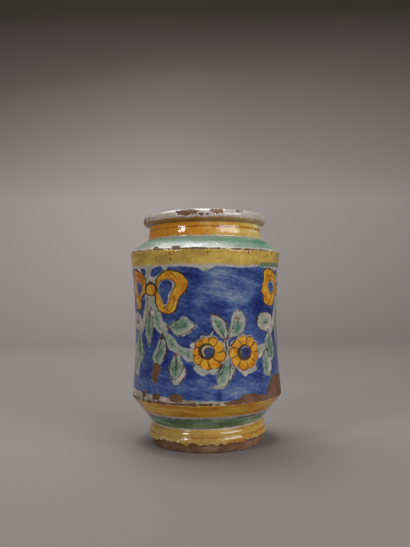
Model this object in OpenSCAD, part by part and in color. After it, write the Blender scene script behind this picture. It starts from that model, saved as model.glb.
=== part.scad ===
// Albarello: a waisted drug jar of thrown earthenware, tin glazed and painted.
// The jar stands on the XY plane, its axis is Z and its front faces -Y.
// Clay sections are luted end to end on level faces. Each wears a coat of
// glaze, and thin layers of fired colour lie on the glaze.

/* [Heights] */
// Height of the foot, from the table to the crease under the heel
foot_h = 18.4; // [17:0.1:22]
// Height of the bead at the top of the foot
bead_h = 6.1; // [4:0.1:7]
// Height of the sloping heel between foot and drum
heel_h = 21.6; // [16:0.1:26]
// Height of the waisted drum, from arris to arris
drum_h = 118; // [100:1:130]
// Height of the sloping shoulder
shoulder_h = 11; // [9:0.5:16]
// Height of the neck up to the seat of the lip
neck_h = 11.8; // [8:0.1:14]

/* [Radii over the glaze] */
// Radius of the foot where it meets the table
foot_r = 46.5; // [44.5:0.5:47.5]
// Radius of the foot where its glaze ends
glaze_edge_r = 49.1; // [48.2:0.1:50.7]
// Swell of the foot between the glaze's edge and the groove under the bead
foot_swell = 0.9; // [0.6:0.1:1.4]
// Radius of the foot at the groove under the bead
groove_r = 49; // [48.2:0.1:49.5]
// Step inward from the foot to the bead
groove_step = 0.4; // [0.3:0.1:0.8]
// Swell of the bead between groove and crease
bead_swell = 1.1; // [0.6:0.1:1.3]
// Radius of the crease between foot and heel
crease_r = 46; // [45.2:0.1:46.7]
// Swell of the heel beyond a straight slope
heel_swell = 0.5; // [0.5:0.1:2]
// Radius of the drum at its two arrises
drum_r = 63.5; // [61.5:0.5:66]
// Depth of the waist, inward from the arrises
waist = 3.4; // [1:0.1:4.3]
// Radius of the neck
neck_r = 47.8; // [46.9:0.1:48.9]

/* [Clay] */
// Inner radius of the drum wall
drum_bore_r = 53; // [50:0.5:54]
// Thickness of the neck, which is also the radius of the rolled lip
neck_wall = 4.2; // [3.6:0.1:5]
// Inner radius of the foot, where the floor disc sits
floor_r = 38; // [35:0.5:39]
// Thickness of the floor disc
floor_t = 8; // [6:0.5:9]
// Hollow under the floor disc
underside_h = 2.5; // [1:0.5:4]

/* [Coats] */
// Thickness of the glaze outside
glaze_t = 0.6; // [0.4:0.1:0.8]
// Thickness of the glaze lining the inside
lining_t = 0.6; // [0.6:0.1:0.9]
// Thickness of a layer of fired colour
paint_t = 0.35; // [0.2:0.05:0.4]
// Bare clay left at the bottom of the foot
bare_h = 6; // [4:0.5:8]

/* [Painted bands] */
// Height of the yellow band at the top of the drum
yellow_band_h = 11; // [6:0.5:16]
// White line left between two painted bands
white_line_h = 1.6; // [0.8:0.2:3]
// White line left between the yellow band and the blue field
upper_line_h = 3; // [1:0.5:6]
// White line left above the lower arris
lower_line_h = 5; // [1:0.5:8]
// Share of the shoulder that is painted green, from the neck down
green_share = 0.6; // [0.3:0.05:0.9]
// Height where yellow meets green on the heel
heel_split_h = 29.5; // [26:0.5:32]

/* [Painted garland] */
// Height of the bow knots above the table
knot_z = 128; // [124:1:130]
// Height of the flower centres above the table
flower_z = 79.5; // [76:0.5:84]
// Distance from the middle of a garland to each of its two flowers
flower_u = 15.2; // [14.5:0.1:17]
// Outer radius of a flower
flower_r = 12.5; // [10:0.5:13]
// Petals on a flower
petals = 9; // [7:1:11]
// Outer radius of a flower's blue eye
eye_r = 5.5; // [4:0.5:6]

/* [Hidden] */

// Facets of every body of revolution, and of the long shallow arcs of its outline
turn_fn = 180;
arc_fn = 720;
$fn = 48;

// Fired colours
terracotta = [0.52, 0.31, 0.20];
tin_white = [0.86, 0.82, 0.76];
cream = [0.80, 0.74, 0.62];
yellow = [0.80, 0.62, 0.20];
ochre = [0.87, 0.56, 0.10];
green = [0.36, 0.58, 0.46];
leaf_green = [0.45, 0.60, 0.50];
cobalt = [0.15, 0.23, 0.47];

// A radius beyond every outline
reach = drum_r + 10;

// Levels of the joints between the clay sections
groove_z = foot_h - bead_h;
heel_z = foot_h;
drum_z = heel_z + heel_h;
shoulder_z = drum_z + drum_h;
neck_z = shoulder_z + shoulder_h;
lip_z = neck_z + neck_h;

// Clay radii, the centre of the rolled lip, and its small rise over the seat on the neck
neck_clay_r = neck_r - glaze_t;
mouth_r = neck_clay_r - neck_wall;
lip_rise = 0.2;
lip_centre = [neck_clay_r, lip_z + neck_wall + lip_rise];
floor_top_z = underside_h + floor_t;

// An outline side is an arc from its low end to its high end. A positive bulge swells out, a negative one
// draws in.
foot_side = [[glaze_edge_r, bare_h], [groove_r, groove_z], foot_swell];
bead_side = [[groove_r - groove_step, groove_z], [crease_r, heel_z], bead_swell];
heel_side = [[crease_r, heel_z], [drum_r, drum_z], heel_swell];
drum_side = [[drum_r, drum_z], [drum_r, shoulder_z], -waist];
shoulder_low = [drum_r, shoulder_z];
shoulder_high = [neck_r, neck_z];

// Horizontal width of a layer of thickness t on the shoulder's slope
shoulder_run = shoulder_low - shoulder_high;
function on_slope(t) = t * norm(shoulder_run) / shoulder_h;

// Radius of the arc that spans a chord with a given bulge
function arc_radius(side) =
    let (half = norm(side[1] - side[0]) / 2, bulge = abs(side[2]))
    (half * half + bulge * bulge) / (2 * bulge);

// Centre of that arc: towards the axis for a swelling side, away from it for a waisted one
function arc_centre(side) =
    let (chord = side[1] - side[0], out = [chord.y, -chord.x] / norm(chord))
    (side[0] + side[1]) / 2 - sign(side[2]) * out * (arc_radius(side) - abs(side[2]));

// Everything on the axis side of a side's arc, moved outward by t, between its two ends
module behind_side(side, t = 0) {
    low = side[0].y;
    span = side[1].y - low;
    centre = arc_centre(side);
    radius = arc_radius(side);
    if (side[2] > 0)
        intersection() {
            translate([0, low]) square([reach, span]);
            union() {
                translate(centre) circle(radius + t, $fn = arc_fn);
                translate([0, low]) square([max(centre.x, 1), span]);
            }
        }
    else
        difference() {
            translate([0, low]) square([reach, span]);
            translate(centre) circle(radius - t, $fn = arc_fn);
        }
}

// A layer on a side, from one distance over the glaze to another, between two levels
module layer(side, from, to, z_low, z_high) {
    intersection() {
        difference() {
            behind_side(side, to);
            behind_side(side, from);
        }
        translate([0, z_low]) square([reach, z_high - z_low]);
    }
}

// A layer on the shoulder's slope, from one share of its height to another
module slope_layer(from, to, low = 0, high = 1) {
    function at(share, t) = shoulder_low + share * (shoulder_high - shoulder_low) + [on_slope(t), 0];
    polygon([at(low, from), at(low, to), at(high, to), at(high, from)]);
}

module turned() {
    rotate_extrude($fn = turn_fn) children();
}

// Clay sections, from the table up

module foot_ring() {
    color(terracotta) turned() difference() {
        union() {
            polygon([[0, 0], [foot_r, 0], [glaze_edge_r - glaze_t, bare_h], [0, bare_h]]);
            behind_side(foot_side, -glaze_t);
            behind_side(bead_side, -glaze_t);
        }
        square([floor_r, heel_z]);
    }
}

module floor_disc() {
    color(terracotta) translate([0, 0, underside_h]) cylinder(floor_t, r = floor_r, $fn = turn_fn);
}

module heel_wall() {
    color(terracotta) turned() difference() {
        behind_side(heel_side, -glaze_t);
        polygon([[0, heel_z], [floor_r, heel_z], [drum_bore_r, drum_z], [0, drum_z]]);
    }
}

module drum_wall() {
    color(terracotta) turned() difference() {
        behind_side(drum_side, -glaze_t);
        translate([0, drum_z]) square([drum_bore_r, drum_h]);
    }
}

module shoulder_wall() {
    color(terracotta) turned() polygon([
        [drum_bore_r, shoulder_z], shoulder_low - [on_slope(glaze_t), 0],
        shoulder_high - [on_slope(glaze_t), 0], [mouth_r, neck_z]
    ]);
}

module neck_collar() {
    color(terracotta) turned() translate([mouth_r, neck_z]) square([neck_wall, neck_h]);
}

module lip_roll() {
    color(terracotta) turned() {
        translate(lip_centre) circle(neck_wall);
        translate([mouth_r, lip_z]) square([neck_wall, lip_centre.y - lip_z]);
    }
}

// Glaze coats, from the foot up, then the lining

module foot_glaze() {
    color(tin_white) turned() {
        layer(foot_side, -glaze_t, 0, bare_h, groove_z);
        layer(bead_side, -glaze_t, 0, groove_z, heel_z);
    }
}

module heel_glaze() {
    color(tin_white) turned() layer(heel_side, -glaze_t, 0, heel_z, drum_z);
}

module drum_glaze() {
    color(tin_white) turned() layer(drum_side, -glaze_t, 0, drum_z, shoulder_z);
}

module shoulder_glaze() {
    color(tin_white) turned() slope_layer(-glaze_t, 0);
}

// The neck's coat runs up into the crease under the lip
module neck_glaze() {
    color(tin_white) turned() difference() {
        translate([neck_clay_r, neck_z]) square([glaze_t, lip_centre.y - neck_wall - neck_z]);
        translate(lip_centre) circle(neck_wall + glaze_t);
    }
}

// The lip's coat wraps it from the crease outside to the middle of its inner face
module lip_glaze() {
    color(tin_white) turned() difference() {
        translate(lip_centre) circle(neck_wall + glaze_t);
        translate(lip_centre) circle(neck_wall);
        square([neck_clay_r, lip_centre.y]);
    }
}

module wall_lining() {
    color(cream) turned() difference() {
        polygon([
            [0, floor_top_z], [floor_r, floor_top_z], [floor_r, heel_z], [drum_bore_r, drum_z],
            [drum_bore_r, shoulder_z], [mouth_r, neck_z], [mouth_r, lip_centre.y], [0, lip_centre.y]
        ]);
        polygon([
            [0, floor_top_z], [floor_r - lining_t, floor_top_z], [floor_r - lining_t, heel_z],
            [drum_bore_r - lining_t, drum_z], [drum_bore_r - lining_t, shoulder_z],
            [mouth_r - lining_t, neck_z], [mouth_r - lining_t, lip_centre.y], [0, lip_centre.y]
        ]);
    }
}

module floor_lining() {
    color(cream) translate([0, 0, floor_top_z])
        cylinder(lining_t, r = floor_r - lining_t, $fn = turn_fn);
}

// Painted bands

module foot_yellow() {
    color(yellow) turned() {
        layer(foot_side, 0, paint_t, bare_h + white_line_h, groove_z);
        layer(bead_side, 0, paint_t, groove_z, heel_z - white_line_h);
    }
}

module heel_green() {
    color(green) turned()
        layer(heel_side, 0, paint_t, heel_z + white_line_h / 2, heel_split_h - white_line_h / 2);
}

module heel_yellow() {
    color(yellow) turned() layer(heel_side, 0, paint_t, heel_split_h + white_line_h / 2, drum_z - paint_t);
}

module shoulder_yellow() {
    color(yellow) turned() layer(drum_side, 0, paint_t, shoulder_z - yellow_band_h, shoulder_z - paint_t);
}

module shoulder_green() {
    top_share = 1 - white_line_h / 2 / shoulder_h;
    color(green) turned() slope_layer(0, paint_t, top_share - green_share, top_share);
}

module neck_yellow() {
    color(yellow) turned()
        translate([neck_r, neck_z + white_line_h]) square([paint_t, neck_h - 2 * white_line_h]);
}

// The painted field of the drum. Its ornaments are laid out flat, u along the wall from the middle of a
// garland and z above the table, and the ground is painted round them.

field_low_z = drum_z + lower_line_h;
field_high_z = shoulder_z - yellow_band_h - upper_line_h;
bows = 3;
garland_pitch = 360 / bows;
first_garland = 14.8;
wall_r = drum_r - waist;
bow_u = PI * wall_r / bows;

module field_coat() {
    turned() layer(drum_side, 0, paint_t, field_low_z, field_high_z);
}

// Cuts a flat ornament through the wall at u, with the ornament's own zero at height z
module through_wall(u, z) {
    angle = u / wall_r * 180 / PI;
    rotate([0, 0, angle]) translate([0, -wall_r + 8, z]) rotate([90, 0, 0])
        linear_extrude(16) children();
}

module each_garland() {
    for (i = [0 : bows - 1]) rotate([0, 0, first_garland + i * garland_pitch]) children();
}

// Both halves of a garland: the left one is drawn, and the right one is its mirror image
module both_halves() {
    for (side = [0, 1]) mirror([side, 0, 0]) children();
}

// A pointed leaf that starts at its stalk and runs along +Y
module leaf(length, width) {
    half = length / 2;
    r = (half * half + width * width / 4) / width;
    intersection() {
        translate([r - width / 2, half]) circle(r);
        translate([width / 2 - r, half]) circle(r);
    }
}

// Leaves of half a garland: [u and z of the stalk, direction of the tip clockwise from up, length, width]
half_garland_leaves = [
    [-39.5, 80, 182, 25, 12],
    [13 - bow_u, 92.5, 200, 25, 10],
    [-44.5, 100, 88, 23, 13],
    [-1.6, 88, -24, 24, 10]
];

// Leaves that stand alone: one under the flowers, one hanging from each bow
middle_leaf = [-0.5, 73, 205, 21, 10];
bow_leaf = [bow_u, 107, 180, 26, 9];

module leaf_prism(spec) {
    through_wall(spec[0], spec[1]) rotate([0, 0, -spec[2]]) leaf(spec[3], spec[4]);
}

module leaf_prisms() {
    each_garland() {
        both_halves() for (spec = half_garland_leaves) leaf_prism(spec);
        leaf_prism(middle_leaf);
        leaf_prism(bow_leaf);
    }
}

// A stem is part of a ring: it leaves the bow downward and swings out to the flowers. Its places are
// measured from the knot.
stem_w = 5;
stem_r = 76;
stem_centre = [72, 20];
stem_start = [0.5, -6.5];
stem_end_u = bow_u - flower_u - flower_r - 1.8;
stem_mid_u = 17;

module stem() {
    intersection() {
        translate(stem_centre) difference() {
            circle(stem_r + stem_w / 2, $fn = arc_fn);
            circle(stem_r - stem_w / 2, $fn = arc_fn);
        }
        translate([stem_start.x, stem_start.y - stem_r])
            square([stem_end_u - stem_start.x, stem_r]);
    }
}

module stem_prisms() {
    each_garland() both_halves()
        through_wall(stem_mid_u - bow_u, knot_z) translate([-stem_mid_u, 0]) stem();
}

// Two discs and a strip between them, drawn in a little from their outer tangents
module linked_discs(a, a_r, b, b_r, drawn_in = 0.96) {
    run = b - a;
    along = atan2(run.y, run.x);
    lean = acos((a_r - b_r) / norm(run));
    function edge(side) = drawn_in * [cos(along + side * lean), sin(along + side * lean)];
    translate(a) circle(a_r);
    translate(b) circle(b_r);
    polygon([a + a_r * edge(1), a + a_r * edge(-1), b + b_r * edge(-1), b + b_r * edge(1)]);
}

// A loop of ribbon droops from a wide upper lobe to a smaller lower one. Its places are measured from the
// knot.
loop_lobe = [22, 2.5];
loop_lobe_r = 12.6;
loop_droop = [15.4, -9.5];
loop_droop_r = 9;
loop_hole = [17, 2];
loop_hole_r = 5;
loop_hole_tip = [15.6, -8.5];
loop_hole_tip_r = 2;
knot_w = 13;
knot_r = 4;

module bow_loop() {
    difference() {
        linked_discs(loop_lobe, loop_lobe_r, loop_droop, loop_droop_r);
        linked_discs(loop_hole, loop_hole_r, loop_hole_tip, loop_hole_tip_r);
    }
}

module bow_prisms() {
    each_garland() both_halves()
        through_wall(loop_lobe.x - bow_u, knot_z) translate([-loop_lobe.x, 0]) bow_loop();
}

module knot() {
    half = knot_w / 2 - knot_r;
    linked_discs([-half, 0], knot_r, [half, 0], knot_r);
}

module knot_prisms() {
    each_garland() through_wall(bow_u, knot_z) knot();
}

petal_r = flower_r * sin(180 / petals) / (1 + sin(180 / petals)) * 1.15;

module petal_ring() {
    difference() {
        union() {
            circle(flower_r - petal_r);
            for (i = [0 : petals - 1]) rotate([0, 0, i * 360 / petals])
                translate([flower_r - petal_r, 0]) circle(petal_r);
        }
        circle(eye_r);
    }
}

module petal_prisms() {
    each_garland() both_halves() through_wall(-flower_u, flower_z) petal_ring();
}

module eye_prisms() {
    each_garland() both_halves() through_wall(-flower_u, flower_z) circle(eye_r);
}

module blue_ground() {
    color(cobalt) difference() {
        field_coat();
        leaf_prisms();
        stem_prisms();
        bow_prisms();
        knot_prisms();
        petal_prisms();
        eye_prisms();
    }
}

module painted() {
    intersection() {
        field_coat();
        children();
    }
}

module bow_ribbons() {
    color(ochre) painted() bow_prisms();
}

module bow_knots() {
    color(ochre) painted() knot_prisms();
}

module stems() {
    color(green) painted() stem_prisms();
}

module leaves() {
    color(leaf_green) painted() leaf_prisms();
}

module petals_ochre() {
    color(ochre) painted() petal_prisms();
}

module flower_eyes() {
    color(cobalt) painted() eye_prisms();
}

foot_ring();
floor_disc();
heel_wall();
drum_wall();
shoulder_wall();
neck_collar();
lip_roll();
foot_glaze();
heel_glaze();
drum_glaze();
shoulder_glaze();
neck_glaze();
lip_glaze();
wall_lining();
floor_lining();
foot_yellow();
heel_green();
heel_yellow();
shoulder_yellow();
shoulder_green();
neck_yellow();
blue_ground();
bow_ribbons();
bow_knots();
stems();
leaves();
petals_ochre();
flower_eyes();
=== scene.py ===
# %% [markdown]
# # A painted drug jar
#
# This lesson dresses a waisted drug jar: earthenware thrown on a wheel, dipped in white tin glaze, and
# painted with bows and a garland before its last firing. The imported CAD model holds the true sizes. Here
# each of its solids gets the look of the real material, so the script starts by loading that model as a
# fixed frame. Sizes are written in millimetres, as a potter would say them, and turned into Blender's
# metres with MM.

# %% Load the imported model
import math

import bmesh
import bpy
import numpy as np
from mathutils import Matrix, Vector, noise


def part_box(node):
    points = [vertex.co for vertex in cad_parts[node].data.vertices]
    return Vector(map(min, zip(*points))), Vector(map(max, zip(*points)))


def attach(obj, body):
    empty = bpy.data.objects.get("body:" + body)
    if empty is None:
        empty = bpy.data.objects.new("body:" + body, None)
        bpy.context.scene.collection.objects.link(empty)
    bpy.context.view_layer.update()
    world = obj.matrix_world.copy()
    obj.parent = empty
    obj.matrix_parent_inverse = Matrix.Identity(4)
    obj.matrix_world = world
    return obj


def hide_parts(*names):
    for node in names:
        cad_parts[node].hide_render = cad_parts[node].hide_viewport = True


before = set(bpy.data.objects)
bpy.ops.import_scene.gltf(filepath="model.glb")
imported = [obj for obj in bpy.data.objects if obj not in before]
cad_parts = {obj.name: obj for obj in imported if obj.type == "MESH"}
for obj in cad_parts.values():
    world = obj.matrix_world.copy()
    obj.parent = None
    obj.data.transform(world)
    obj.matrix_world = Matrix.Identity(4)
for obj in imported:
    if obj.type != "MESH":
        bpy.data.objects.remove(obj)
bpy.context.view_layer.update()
MM = 0.001
UNROLLED_R = 60


def put(name, data):
    """A new object in the scene."""
    thing = bpy.data.objects.new(name, data)
    bpy.context.scene.collection.objects.link(thing)
    return thing


# %% [markdown]
# ## The camera
#
# The camera stands at the photograph's viewing angle: close, a little above the jar's middle, and turned
# very slightly on its axis. Its lens follows from the picture's height in pixels and from how fast things
# shrink with distance. It comes first, so that every later piece can be judged through it.

# %% Place the camera
PICTURE_H = 547
FOCAL_PX = 577
SENSOR_MM = 36
SHIFT_PX = 22.8
CAMERA_AT = (-0.5, -494, 122)
CAMERA_ROLL = 0.8
camera_data = bpy.data.cameras.new("camera")
camera_data.sensor_width = SENSOR_MM
camera_data.lens = FOCAL_PX * SENSOR_MM / PICTURE_H
camera_data.shift_y = SHIFT_PX / PICTURE_H
camera = put("camera", camera_data)
camera.location = [part * MM for part in CAMERA_AT]
camera.rotation_euler = (math.radians(90), math.radians(CAMERA_ROLL), 0)
bpy.context.scene.camera = camera
print("lens", round(camera_data.lens, 2), "mm")

# %% [markdown]
# ## The jar's outline
#
# A thrown jar is one outline turned about an axis. The heights and radii of its corners are read from the
# frame's solids, so the dressed jar keeps the CAD sizes. Shallow arcs join the corners, and one pass of
# smoothing along the line softens each corner as a coat of glaze does. All pieces are cut from this one
# line, so they meet. Each corner is given with the bulge of the arc that leaves it.


# %% Read the corners from the frame
FOOT_WALL = 8.5


def lowest(node):
    """The height of a solid's underside, in millimetres."""
    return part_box(node)[0].z / MM


def highest(node):
    """The height of a solid's top, in millimetres."""
    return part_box(node)[1].z / MM


def widest(node):
    """The largest radius of a turned solid, in millimetres."""
    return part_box(node)[1].x / MM


edge_z = lowest("foot_glaze")
crease_z = lowest("heel_glaze")
heel_z = lowest("drum_glaze")
arris_z = highest("drum_glaze")
neck_z = highest("shoulder_glaze")
top_z = highest("lip_glaze")
arris_r = widest("drum_glaze")
neck_r = widest("neck_glaze")
glaze_t = top_z - highest("lip_roll")
roll_r = widest("lip_roll") - widest("neck_collar") + glaze_t
lip_centre = (widest("neck_collar"), top_z - roll_r)
foot_r = widest("floor_disc") + FOOT_WALL
print("heel", round(heel_z, 1), "arris", round(arris_z, 1), "neck", round(neck_z, 1), "top", round(top_z, 1))

# %% Draw the outline
def arc(start, end, bulge):
    """Points of a shallow arc from start to end, without its end, bulging outwards."""
    part = np.linspace(0, 1, 240, endpoint=False)[:, None]
    start = np.array(start, float)
    run = np.array(end, float) - start
    out = np.array([run[1], -run[0]]) / np.hypot(*run)
    return start + part * run + 4 * part * (1 - part) * bulge * out


def roll(centre, radius, first, last):
    """Points of a round roll, between two angles in degrees."""
    turn = np.radians(np.linspace(first, last, 240))
    return np.array(centre) + radius * np.column_stack([np.cos(turn), np.sin(turn)])


def paced(points, pace):
    """The same line with points at an even pace, and how far along it each one is."""
    steps = np.hypot(*np.diff(points, axis=0).T)
    along = np.concatenate([[0], np.cumsum(steps)])
    even = np.linspace(0, along[-1], int(along[-1] / pace) + 2)
    return np.column_stack([np.interp(even, along, points[:, k]) for k in (0, 1)]), even


def softened(points, pace, reach):
    """The line with its corners rounded over a given reach."""
    side = math.ceil(3 * reach / pace)
    offsets = np.arange(-side, side + 1) * pace
    weights = np.exp(-((offsets / reach) ** 2) / 2)
    weights /= weights.sum()
    longer = np.pad(points, ((side, side), (0, 0)), mode="reflect", reflect_type="odd")
    return np.column_stack([np.convolve(longer[:, k], weights, "valid") for k in (0, 1)])


PACE = 0.2
WAIST = 3.4
BEAD_H = 6.1
RIDGE_H = 7.8
groove_z = crease_z - BEAD_H
ridge_z = neck_z + RIDGE_H
flare_z = top_z - 2 * roll_r - 0.5
LIP_START = -60
lip_under = roll(lip_centre, roll_r, LIP_START, LIP_START)[0]
CORNERS = [
    ((foot_r, 0), 0), ((foot_r + 2.6, edge_z), 0.9), ((foot_r + 2.5, groove_z), 0),
    ((foot_r + 2.1, groove_z + 0.1), 1.1), ((foot_r - 0.5, crease_z), 0.3),
    ((arris_r, heel_z), -WAIST), ((arris_r, arris_z), 1.0), ((neck_r, neck_z), 0.5),
    ((neck_r - 0.5, ridge_z), -0.05), ((neck_r - 0.2, flare_z), -0.25), (lip_under, 0),
]
arcs = [arc(start, end, bulge) for (start, bulge), (end, _) in zip(CORNERS, CORNERS[1:])]
raw_outline = np.concatenate([*arcs, roll(lip_centre, roll_r, LIP_START, 180)])
even_outline, along_mm = paced(raw_outline, PACE)
outline = softened(even_outline, PACE, 0.5)
slope = np.gradient(outline, axis=0)
outward = np.column_stack([slope[:, 1], -slope[:, 0]])
outward /= np.hypot(*outward.T)[:, None]
print("outline", len(outline), "points,", round(along_mm[-1], 1), "mm from foot to mouth")


# %% Mark where the sections meet
def mark(radius, height):
    """How far along the outline a corner lies."""
    gap = np.hypot(outline[:, 0] - radius, outline[:, 1] - height)
    return along_mm[int(gap.argmin())]


at_edge = mark(foot_r + 1.5, 3)
at_crease = mark(foot_r - 0.5, crease_z)
at_heel = mark(arris_r, heel_z)
at_arris = mark(arris_r, arris_z)
at_neck = mark(neck_r, neck_z)
at_lip = mark(neck_r - 0.2, flare_z)
at_roll = mark(lip_centre[0] + roll_r, lip_centre[1])
at_mouth = along_mm[-1]
print("marks", [round(m, 1) for m in (at_edge, at_crease, at_heel, at_arris, at_neck, at_lip, at_mouth)])

# %% [markdown]
# ## Turning a section
#
# Blender's spin does what the wheel does: it carries a line of edges around an axis and leaves a skin.
# Each coat of glaze is a closed ring with a fine outer side, where the paint and the chips go, and a
# coarse back sunk a little into the clay. Each point remembers how far along the outline it lies, and
# spin copies that to every place around the jar.


# %% The wheel
SLICES = 32
COAT_DEPTH = 1.8
BACK_STEPS = 9
SHARP_ANGLE = math.radians(50)


def as_mesh(name, shape):
    """A new mesh from a drawn shape, shaded smooth."""
    for face in shape.faces:
        face.smooth = True
    mesh = bpy.data.meshes.new(name)
    shape.to_mesh(mesh)
    shape.free()
    return mesh


def whirled(shape, line, steps):
    """Spins a slice of the jar, then doubles it round the axis until it closes."""
    bmesh.ops.spin(
        shape, geom=line, cent=(0, 0, 0), axis=(0, 0, 1), dvec=(0, 0, 0),
        angle=math.tau / SLICES, steps=steps // SLICES,
    )
    done = 1
    while done < SLICES:
        every = shape.verts[:] + shape.edges[:] + shape.faces[:]
        twin = bmesh.ops.duplicate(shape, geom=every)["geom"]
        verts = [item for item in twin if isinstance(item, bmesh.types.BMVert)]
        turn = Matrix.Rotation(math.tau * done / SLICES, 3, "Z")
        bmesh.ops.rotate(shape, verts=verts, cent=(0, 0, 0), matrix=turn)
        done *= 2
    bmesh.ops.remove_doubles(shape, verts=shape.verts, dist=1e-6)
    bmesh.ops.recalc_face_normals(shape, faces=shape.faces)


def turned(name, front, front_along, back, back_along, steps):
    """A closed ring spun from a front line and a back line, as a new mesh."""
    shape = bmesh.new()
    along_layer = shape.verts.layers.float.new("along")
    front_layer = shape.verts.layers.float.new("front")
    ring = []
    for line, marks, is_front in ((front, front_along, 1.0), (back, back_along, 0.0)):
        for (radius, height), distance in zip(line, marks):
            vert = shape.verts.new((0, radius * MM, height * MM))
            vert[along_layer] = distance
            vert[front_layer] = is_front
            ring.append(vert)
    edges = [shape.edges.new(pair) for pair in zip(ring, ring[1:] + ring[:1])]
    whirled(shape, ring + edges, steps)
    for edge in shape.edges:
        edge.smooth = edge.calc_face_angle(0) < SHARP_ANGLE
    return as_mesh(name, shape)


def cut_line(start, end, pace, depth=0.0):
    """A stretch of the outline, set in by a depth, with its places along the outline."""
    marks = np.linspace(start, end, max(2, int(round(abs(end - start) / pace)) + 1))
    spots = [np.interp(marks, along_mm, outline[:, k] - depth * outward[:, k]) for k in (0, 1)]
    return np.column_stack(spots), marks


def glaze_ring(name, start, end, pace, steps):
    """The mesh of one coat of glaze between two marks on the outline."""
    front, front_along = cut_line(start, end, pace)
    back, back_along = cut_line(end, start, (end - start) / BACK_STEPS, COAT_DEPTH)
    return turned(name, front, front_along, back, back_along, steps)


print("a full turn is", SLICES, "slices")

# %% Read and write a mesh's points
class Skin:
    """A mesh's points as arrays: place, turn about the axis, distance along the outline."""

    def __init__(self, mesh):
        self.mesh = mesh
        count = len(mesh.vertices)
        self.co = np.zeros(count * 3)
        mesh.vertices.foreach_get("co", self.co)
        self.co = self.co.reshape(-1, 3) / MM
        self.along = np.zeros(count)
        mesh.attributes["along"].data.foreach_get("value", self.along)
        self.front = np.zeros(count)
        mesh.attributes["front"].data.foreach_get("value", self.front)
        self.r = np.hypot(self.co[:, 0], self.co[:, 1])
        self.z = self.co[:, 2].copy()
        self.turn = np.arctan2(self.co[:, 0], -self.co[:, 1])
        self.u = self.turn * UNROLLED_R

    def away(self, degrees):
        """How far each point is turned from a bearing, in degrees."""
        return (np.degrees(self.turn) - degrees + 180) % 360 - 180

    def blank(self):
        """A layer that lies nowhere near any point."""
        return np.full(len(self.u), FAR)

    def push(self, outwards):
        """Moves the front points along the outline's outward direction, in millimetres."""
        sides = [np.interp(self.along, along_mm, outward[:, k]) for k in (0, 1)]
        move = outwards * self.front
        radius = np.maximum(self.r, 0.001)
        self.co[:, 0] += self.co[:, 0] / radius * sides[0] * move
        self.co[:, 1] += self.co[:, 1] / radius * sides[0] * move
        self.co[:, 2] += sides[1] * move

    def keep(self, name, values):
        """Stores one number per point, for the material to read."""
        layer = self.mesh.attributes.new(name, "FLOAT", "POINT")
        layer.data.foreach_set("value", np.asarray(values, np.float32))

    def settle(self):
        """Bends the points as the thrower's hand did, and writes them to the mesh."""
        self.mesh.vertices.foreach_set("co", (hand_thrown(self.co) * MM).ravel())
        self.mesh.update()


def speckle(points, size, seed):
    """Soft random values between about -1 and 1 at each point, with a grain of a given size."""
    spots = points / size + seed * 17.3
    return np.array([noise.noise(Vector(spot)) for spot in spots])


def ease(low, high, value):
    """0 below low, 1 above high, and a smooth rise between."""
    part = np.clip((value - low) / (high - low), 0, 1)
    return part * part * (3 - 2 * part)


# %% [markdown]
# ## The hand of the thrower
#
# No thrown jar is quite true. The shoulder dips a little to one side, the foot's rings run uphill, and
# the wall is a fraction out of round. One function bends every piece alike, so that clay, glaze and
# lining stay together.


# %% Bend the points by hand
SHOULDER_DIP = math.tan(math.radians(0.9))
FOOT_RISE = 0.02
OVAL = 0.003
THREE_SIDED = 0.0018


def hand_thrown(co):
    """The points of a true jar, moved as an uneven hand would leave them."""
    x, y, z = co.T
    turn = np.arctan2(x, -y)
    dip = -x * SHOULDER_DIP * ease(heel_z, arris_z, z) * (1 - 0.85 * ease(arris_z, lip_centre[1], z))
    rise = x * FOOT_RISE * ease(0, 12, z) * (1 - ease(crease_z, heel_z, z))
    oval = 1 + OVAL * np.sin(2 * turn + 0.8) + THREE_SIDED * np.sin(3 * turn + z / 35)
    return np.column_stack([x * oval, y * oval, z + dip + rise])


print("shoulder dip", round(SHOULDER_DIP * arris_r, 2), "mm at the arris")

# %% [markdown]
# ## Drawing on the jar
#
# The painter drew on the wall unrolled in the mind: u runs around the jar in millimetres and z runs up. A
# shape is a few points joined by a smooth curve. For each point of the glaze we work out how deep inside
# a shape it lies, in millimetres, and keep that number on the mesh. The material turns the number into a
# brush edge, so an outline stays crisp however close the camera comes.


# %% Curves through a few points
FINER = 8


def smooth_line(points):
    """A smooth open curve through points."""
    points = np.array(points, float)
    ends = np.concatenate([[2 * points[0] - points[1]], points, [2 * points[-1] - points[-2]]])
    return np.concatenate([curve_span(ends[k:k + 4]) for k in range(len(points) - 1)] + [points[-1:]])


def smooth_loop(points):
    """A smooth closed curve through points."""
    points = np.array(points, float)
    ring = np.concatenate([points[-1:], points, points[:2]])
    return np.concatenate([curve_span(ring[k:k + 4]) for k in range(len(points))])


def curve_span(four):
    """The stretch of a Catmull-Rom curve between the middle two of four points."""
    t = np.linspace(0, 1, FINER, endpoint=False)[:, None]
    a, b, c, d = four
    bend = (2 * a - 5 * b + 4 * c - d) * t ** 2
    twist = (3 * b - a - 3 * c + d) * t ** 3
    return 0.5 * (2 * b + (c - a) * t + bend + twist)


def pointed(points, tip):
    """A leaf's outline: two smooth sides that meet in a point at the stalk and at the tip."""
    points = list(points)
    up = smooth_line(points[:tip + 1])
    down = smooth_line(points[tip:] + points[:1])
    return np.concatenate([up[:-1], down[:-1]])


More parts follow.
